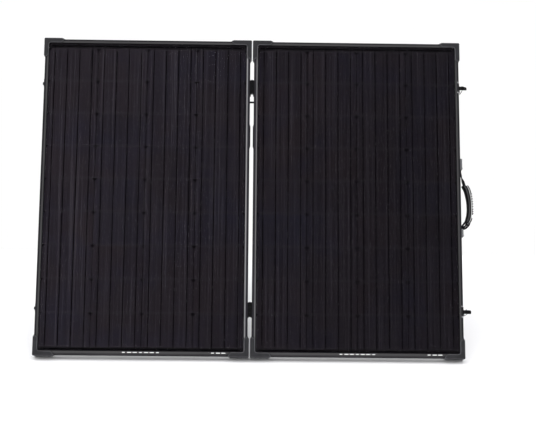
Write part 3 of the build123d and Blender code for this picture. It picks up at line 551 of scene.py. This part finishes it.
M_WEB = webbing("strap_webbing", (0.0024, 0.0024, 0.0027))
# painted highlight: a pale grey for the band along the grip's side
M_GRIP_HIGHLIGHT = moulded("grip_painted_highlight_grey", (0.36, 0.36, 0.365), rough=0.5, spec=0.1)
M_RIB = moulded("grip_rib_grey", (0.004, 0.004, 0.0045), rough=0.6, spec=0.03)
M_CORE = moulded("grip_core_grey", (0.040, 0.040, 0.042), rough=0.55, spec=0.05)
M_GRIP = rubber("grip_rubber", (0.0022, 0.0022, 0.0024), rough=0.65)

strap_path = smooth_line(STRAP, 8)
strap = strip("handle_strap_webbing", strap_path, strap_section, M_WEB, "handle")
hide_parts("handle_strap")


def fold_section(half_t, w0, w1):
    def at(p):
        h, r = half_t, half_t * 0.6
        return [(-h, w0 + r), (-h + r, w0), (h - r, w0), (h, w0 + r), (h, w1 - r), (h - r, w1), (-h + r, w1), (-h, w1 - r)], 0.0
    return at


# the strap's lower end is folded back on itself and tacked down just under the grip
fold = strip("handle_fold", smooth_line([(693.0, 438.0), (692.0, 428.0), (687.5, 420.5), (681.0, 415.2), (674.0, 413.8), (670.6, 417.0), (671.4, 422.5),
                                         (675.5, 428.5), (681.0, 436.0)], 6), fold_section(2.7, -27.0, -9.0), M_WEB, "handle")
fold2 = strip("handle_fold_under", smooth_line([(688.5, 434.0), (685.0, 425.5), (679.5, 420.5), (673.5, 418.0), (669.8, 413.2), (668.6, 408.0)], 6),
              fold_section(2.2, -26.0, -10.0), M_WEB, "handle")
M_STITCH = moulded("stitch_thread", (0.30, 0.30, 0.31), var=0.1, rough=0.7, grain=3000, spec=0.05)
for k, (pa, pb) in enumerate((((677.0, 412.9), (681.5, 421.8)), ((685.6, 418.6), (676.6, 423.0)), ((689.8, 425.6), (683.6, 430.6)))):
    st = strip(f"handle_stitch_{k + 1}", [Vector(pa), Vector(pa).lerp(Vector(pb), 0.5), Vector(pb)], fold_section(0.5, -9.6, -8.4), M_STITCH, "handle")

GI = [(670.6, 550), (676.0, 540), (679.5, 531), (685.0, 505), (686.6, 481), (685.8, 465), (683.8, 453), (678.5, 435)]
GO = [(691.0, 552), (698.0, 537), (701.4, 520), (703.2, 500), (703.6, 480), (703.2, 456), (701.0, 440), (694.5, 429)]
gi, go = (smooth_line(side, 10) for side in (GI, GO))


def grip_shell(name, f0, f1, half_w, mat, round_n=1.6, taper=True, i0=0, i1=None):
    """the part of the grip between fractions f0 and f1 of the way from its inner to its outer line"""
    bm = bmesh.new()
    rings = []
    n = len(gi)
    i1 = n if i1 is None else i1
    for i in range(i0, i1):
        a = gi[i].lerp(go[i], f0)
        b = gi[i].lerp(go[i], f1)
        e = min(i - i0, i1 - 1 - i) / 5.0
        pull = 1.0 if e >= 1 or not taper else 0.80 + 0.20 * math.sin(e * math.pi / 2)
        hw = half_w * pull
        mid = (a + b) / 2
        a, b = mid.lerp(a, pull), mid.lerp(b, pull)
        ring = []
        for k in range(20):
            ang = 2 * math.pi * k / 20
            cx, cy = math.cos(ang), math.sin(ang)
            x = math.copysign(abs(cx) ** 0.42, cx)
            y = math.copysign(abs(cy) ** 0.42, cy)
            p = mid.lerp(b, x) if x > 0 else mid.lerp(a, -x)
            ring.append(bm.verts.new(L(p.x, p.y, -18 + y * hw)))
        rings.append(ring)
    for r0, r1 in zip(rings, rings[1:]):
        for k in range(20):
            bm.faces.new((r0[k], r0[(k + 1) % 20], r1[(k + 1) % 20], r1[k]))
    bm.faces.new(reversed(rings[0]))
    bm.faces.new(rings[-1])
    o = finish_mesh(name, bm)
    o.data.materials.append(mat)
    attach(o, "handle")
    return o


pad_in = grip_shell("handle_grip_inner_pad", 0.0, 0.26, 12.2, M_GRIP)
pad_mid = grip_shell("handle_grip_core", 0.22, 0.50, 12.9, M_CORE)
pad_out = grip_shell("handle_grip_outer_pad", 0.46, 0.68, 12.5, M_GRIP)
# painted highlight: a pale grey band along the grip's outer side stands in for the highlight on its rounded edge
grip_highlight_line = grip_shell("handle_grip_painted_highlight", 0.66, 0.84, 11.9, M_GRIP_HIGHLIGHT)
n_r = 9
for k in range(n_r):
    v = 461.0 + 7.75 * k
    j = min(range(len(go)), key=lambda q: abs(go[q].y - v))
    t = (go[min(j + 1, len(go) - 1)] - go[max(j - 1, 0)]).normalized()
    nn = Vector((-t.y, t.x))
    if nn.x < 0:
        nn = -nn
    c0 = gi[j].lerp(go[j], 0.90) + nn * 0.4
    bm = bmesh.new()
    ringsr = []
    for s in range(13):
        w = -29.0 + 22.0 * s / 12
        fall = 1 - 0.35 * abs(2 * s / 12 - 1) ** 4
        ringsr.append([bm.verts.new(L(*((c0 + nn * (2.9 * math.cos(a) * fall + 0.6) + t * (2.25 * math.sin(a) * fall))), w)) for a in (2 * math.pi * q / 12 for q in range(12))])
    for r0, r1 in zip(ringsr, ringsr[1:]):
        for q in range(12):
            bm.faces.new((r0[q], r0[(q + 1) % 12], r1[(q + 1) % 12], r1[q]))
    bm.faces.new(reversed(ringsr[0]))
    bm.faces.new(ringsr[-1])
    o = finish_mesh(f"handle_grip_rib_{k + 1}", bm)
    o.data.materials.append(M_RIB)
    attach(o, "handle")
cap_top = grip_shell("handle_grip_top_rim", 0.78, 0.97, 12.4, M_GRIP, i0=0, i1=20)
cap_bot = grip_shell("handle_grip_bottom_rim", 0.78, 0.97, 12.4, M_GRIP, i0=len(gi) - 15, i1=len(gi))
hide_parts("handle_grip")

# ------------------------------------------------------------------ plain dashes where the rails carry print
M_PRINT = moulded("white_print", (0.74, 0.74, 0.74), var=0.06, rough=0.55, grain=2600)


def dash(name, u, v, wid, hgt, body):
    bm = bmesh.new()
    pts = []
    for cx, cy, a0 in ((wid / 2 - hgt / 2, 0, -90), (-wid / 2 + hgt / 2, 0, 90)):
        for k in range(9):
            a = math.radians(a0 + 180 * k / 8)
            pts.append((u + cx + hgt / 2 * math.cos(a), v + hgt / 2 * math.sin(a)))
    lo = [bm.verts.new(L(x, y, 0.01)) for x, y in pts]
    hi = [bm.verts.new(L(u + (x - u) * 0.99, v + (y - v) * 0.94, 0.13)) for x, y in pts]
    bm.faces.new(hi)
    bm.faces.new(list(reversed(lo)))
    for k in range(len(lo)):
        bm.faces.new((lo[k], lo[(k + 1) % len(lo)], hi[(k + 1) % len(lo)], hi[k]))
    o = finish_mesh(name, bm, smooth=False)
    o.data.materials.append(M_PRINT)
    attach(o, body)
    return o


for body, spans in (("left_panel", [(-397, -275), (-122, -72)]), ("right_panel", [(275, 393), (548, 600)])):
    for q, (a, b) in enumerate(spans):
        n = max(3, round((b - a) / 17))
        step = (b - a) / n
        for k in range(n):
            wid = step * (0.78 if k % 3 else 0.55)
            dash(f"{body}_dash_{q + 1}_{k + 1}", a + step * (k + 0.5), 12.2, wid, 2.4, body)

# ------------------------------------------------------------------ small edge rounding on the CAD pieces
for side in ("left", "right"):
    for k, w in (("leg", 0.0004), ("brace", 0.0004), ("track", 0.0003), ("leg_bracket", 0.0003), ("hinge_leaves", 0.00035), ("box_base", 0.0008)):
        bevel(nodes[side + "_" + k], w)

# ------------------------------------------------------------------ floor, light
fm = Mat("studio_floor")
fm.set(Specular_IOR_Level=0.0)
fm.color(fm.ramp(fm.noise(2.0, 3), [(0.2, (0.855, 0.855, 0.87)), (0.8, (0.875, 0.875, 0.888))]))
fm.set(Roughness=0.9)
bm = bmesh.new()
bmesh.ops.create_grid(bm, x_segments=24, y_segments=16, size=1.0)
for v in bm.verts:
    v.co.x *= 3.4
    v.co.y = v.co.y * 1.9 - 0.95
floor = finish_mesh("studio_floor", bm, smooth=False)
floor.location = (0, 0, -0.0002)
floor.data.materials.append(fm.m)

world = bpy.data.worlds.new("studio")
bpy.context.scene.world = world
world.use_nodes = True
wt = world.node_tree
bg = wt.nodes["Background"]
tc = wt.nodes.new("ShaderNodeTexCoord")
sepw = wt.nodes.new("ShaderNodeSeparateXYZ")
wt.links.new(tc.outputs["Generated"], sepw.inputs[0])
WORLD = 1.42


def wmath(op, a, b=None):
    m = wt.nodes.new("ShaderNodeMath")
    m.operation = op
    for k, v in ((0, a), (1, b)):
        if v is None:
            continue
        if isinstance(v, (int, float)):
            m.inputs[k].default_value = v
        else:
            wt.links.new(v, m.inputs[k])
    return m.outputs[0]


def wrange(v, a, b, c, d):
    m = wt.nodes.new("ShaderNodeMapRange")
    m.interpolation_type = "SMOOTHSTEP"
    for k, x in zip(("From Min", "From Max", "To Min", "To Max"), (a, b, c, d)):
        m.inputs[k].default_value = x
    wt.links.new(v, m.inputs["Value"])
    return m.outputs["Result"]


# a big white room: bright overhead, a little brighter on the left, dimmer low down in front; the camera sees plain white
up = wrange(sepw.outputs[2], 0.0, 0.8, 0.62, 1.18)
lr = wrange(sepw.outputs[0], -0.9, 0.9, 1.12, 0.90)
fb = wrange(sepw.outputs[1], -0.9, 0.9, 1.25, 0.72)
sky = wmath("MULTIPLY", wmath("MULTIPLY", wmath("MULTIPLY", up, lr), fb), WORLD)
under = wrange(sepw.outputs[2], -0.06, 0.0, 1.0, 0.0)
room = wmath("ADD", wmath("MULTIPLY", sky, wmath("SUBTRACT", 1.0, under)), wmath("MULTIPLY", under, 0.88 * WORLD))
lp = wt.nodes.new("ShaderNodeLightPath")
seen = lp.outputs["Is Camera Ray"]
wt.links.new(wmath("ADD", wmath("MULTIPLY", seen, 1.005), wmath("MULTIPLY", room, wmath("SUBTRACT", 1.0, seen))), bg.inputs["Strength"])
bg.inputs["Color"].default_value = (1.0, 0.999, 1.0, 1)
